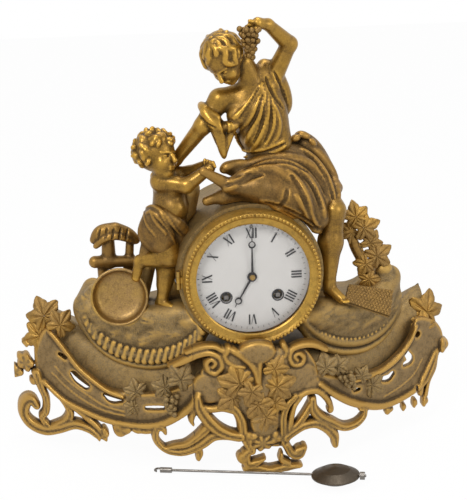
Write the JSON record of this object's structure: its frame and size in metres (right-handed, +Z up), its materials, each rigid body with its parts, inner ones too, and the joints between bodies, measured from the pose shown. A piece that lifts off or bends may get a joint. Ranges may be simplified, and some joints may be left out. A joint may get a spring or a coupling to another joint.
{
  "type": "figural mantel clock",
  "caption": "Gilt figural mantel clock: a seated vintager and a child over a round drum with enamel dial, on a pierced scroll base, pendulum laid in front.",
  "frame": {"origin": "on the table under the middle of the object's box, below the dial", "axes": "+Z up, the dial faces -Y, +X to the viewer's right"},
  "size_m": [0.4035, 0.1807, 0.3885],
  "materials": {
    "gilt_metal": "satin gilt, worn",
    "gilt_bezel": "polished gilt",
    "dial_enamel": "gloss",
    "bezel_glass": "clear",
    "blued_steel": "blued",
    "polished_brass": "polished",
    "steel": "satin",
    "bell_metal": "turned",
    "bob_metal": "tarnished"
  },
  "bodies": {
    "clock": {"apron_centre": "gilt_metal", "apron_left": "gilt_metal", "apron_right": "gilt_metal", "base_casting": "gilt_metal", "basket": "gilt_metal", "bell": "bell_metal", "bell_and_suspension_cocks": "polished_brass", "bowl": "gilt_metal", "case_straps": "polished_brass", "child_arms": "gilt_metal", "child_body": "gilt_metal", "child_head": "gilt_metal", "child_legs": "gilt_metal", "child_loincloth": "gilt_metal", "corner_leaves": "gilt_metal", "dial_enamel": "dial_enamel", "dial_plate": "polished_brass", "drum_case": "gilt_metal", "gallery_foliage": "gilt_metal", "gallery_left": "gilt_metal", "gallery_right": "gilt_metal", "grape_bunch": "gilt_metal", "hinge_pins": "steel", "mound_left": "gilt_metal", "mound_right": "gilt_metal", "movement_back_plate": "polished_brass", "movement_front_plate": "polished_brass", "movement_pillars": "polished_brass", "rear_ring": "gilt_metal", "rock_backing": "gilt_metal", "strap_screws": "steel", "trestle": "gilt_metal", "vine_trunk": "gilt_metal", "woman_back_drape": "gilt_metal", "woman_head": "gilt_metal", "woman_lower_leg": "gilt_metal", "woman_raised_arm": "gilt_metal", "woman_reaching_arm": "gilt_metal", "woman_skirt": "gilt_metal", "woman_torso": "gilt_metal"},
    "bezel": {"bezel_ring": "gilt_bezel", "bezel_glass": "bezel_glass"},
    "minute_work": {"minute_hand": "blued_steel", "hand_collet": "polished_brass", "centre_wheel": "polished_brass"},
    "hour_work": {"hour_hand": "blued_steel", "hour_wheel": "polished_brass"},
    "minute_wheel_body": {"minute_wheel": "polished_brass"},
    "third_wheel_body": {"third_wheel": "polished_brass"},
    "escape_wheel_body": {"escape_wheel": "polished_brass"},
    "pallets": {"pallets_crutch": "steel"},
    "going_barrel_body": {"going_barrel": "polished_brass"},
    "strike_barrel_body": {"strike_barrel": "polished_brass"},
    "going_arbor": {"winding_arbor_going": "steel"},
    "strike_arbor": {"winding_arbor_strike": "steel"},
    "regulator": {"regulator_arbor": "steel"},
    "hammer": {"bell_hammer": "steel"},
    "rear_door_body": {"rear_door": "gilt_metal"},
    "pendulum": {"pendulum_rod": "steel", "pendulum_bob": "bob_metal"}
  },
  "joints": [
    {"name": "bezel_hinge", "type": "hinge", "parent": "clock", "child": "bezel", "pos_m": [-0.0619, -0.0194, 0.172], "axis": [0, 0, -1], "range_deg": [0, 95]},
    {"name": "minute_spin", "type": "hinge", "parent": "clock", "child": "minute_work", "pos_m": [0, 0, 0.172], "axis": [0, 1, 0], "continuous": true},
    {"name": "hour_spin", "type": "hinge", "parent": "clock", "child": "hour_work", "pos_m": [0, 0, 0.172], "axis": [0, 1, 0], "continuous": true},
    {"name": "minute_wheel_spin", "type": "hinge", "parent": "clock", "child": "minute_wheel_body", "pos_m": [-0.0094, 0, 0.172], "axis": [0, 1, 0], "continuous": true},
    {"name": "third_spin", "type": "hinge", "parent": "clock", "child": "third_wheel_body", "pos_m": [0.00834, 0, 0.1853], "axis": [0, 1, 0], "continuous": true},
    {"name": "escape_spin", "type": "hinge", "parent": "clock", "child": "escape_wheel_body", "pos_m": [0, 0, 0.191], "axis": [0, 1, 0], "continuous": true},
    {"name": "going_barrel_spin", "type": "hinge", "parent": "clock", "child": "going_barrel_body", "pos_m": [0.022, 0, 0.1545], "axis": [0, 1, 0], "continuous": true},
    {"name": "strike_barrel_spin", "type": "hinge", "parent": "clock", "child": "strike_barrel_body", "pos_m": [-0.022, 0, 0.1545], "axis": [0, 1, 0], "continuous": true},
    {"name": "going_winding", "type": "hinge", "parent": "clock", "child": "going_arbor", "pos_m": [0.022, 0, 0.1545], "axis": [0, 1, 0], "continuous": true},
    {"name": "strike_winding", "type": "hinge", "parent": "clock", "child": "strike_arbor", "pos_m": [-0.022, 0, 0.1545], "axis": [0, 1, 0], "continuous": true},
    {"name": "regulator_turn", "type": "hinge", "parent": "clock", "child": "regulator", "pos_m": [0, 0, 0.2155], "axis": [0, 1, 0], "range_deg": [-180, 180]},
    {"name": "pallet_rock", "type": "hinge", "parent": "clock", "child": "pallets", "pos_m": [0, 0, 0.203], "axis": [0, 1, 0], "range_deg": [-3, 3]},
    {"name": "hammer_lift", "type": "hinge", "parent": "clock", "child": "hammer", "pos_m": [0.034, 0, 0.142], "axis": [0, 1, 0], "range_deg": [0, 14]},
    {"name": "rear_door_hinge", "type": "hinge", "parent": "clock", "child": "rear_door_body", "pos_m": [0.0619, 0.0764, 0.172], "axis": [0, 0, -1], "range_deg": [0, 110]},
    {"name": "pendulum_lift", "type": "slide", "parent": "clock", "child": "pendulum", "axis": [0, 0, 1], "range_m": [0, 0.1]}
  ],
  "couplings": [
    {"joint": "hour_spin", "follows": "minute_spin", "ratio": 0.083333},
    {"joint": "minute_wheel_spin", "follows": "minute_spin", "ratio": -0.33333},
    {"joint": "third_spin", "follows": "minute_spin", "ratio": -8},
    {"joint": "escape_spin", "follows": "minute_spin", "ratio": 64},
    {"joint": "going_barrel_spin", "follows": "minute_spin", "ratio": -0.14286}
  ]
}
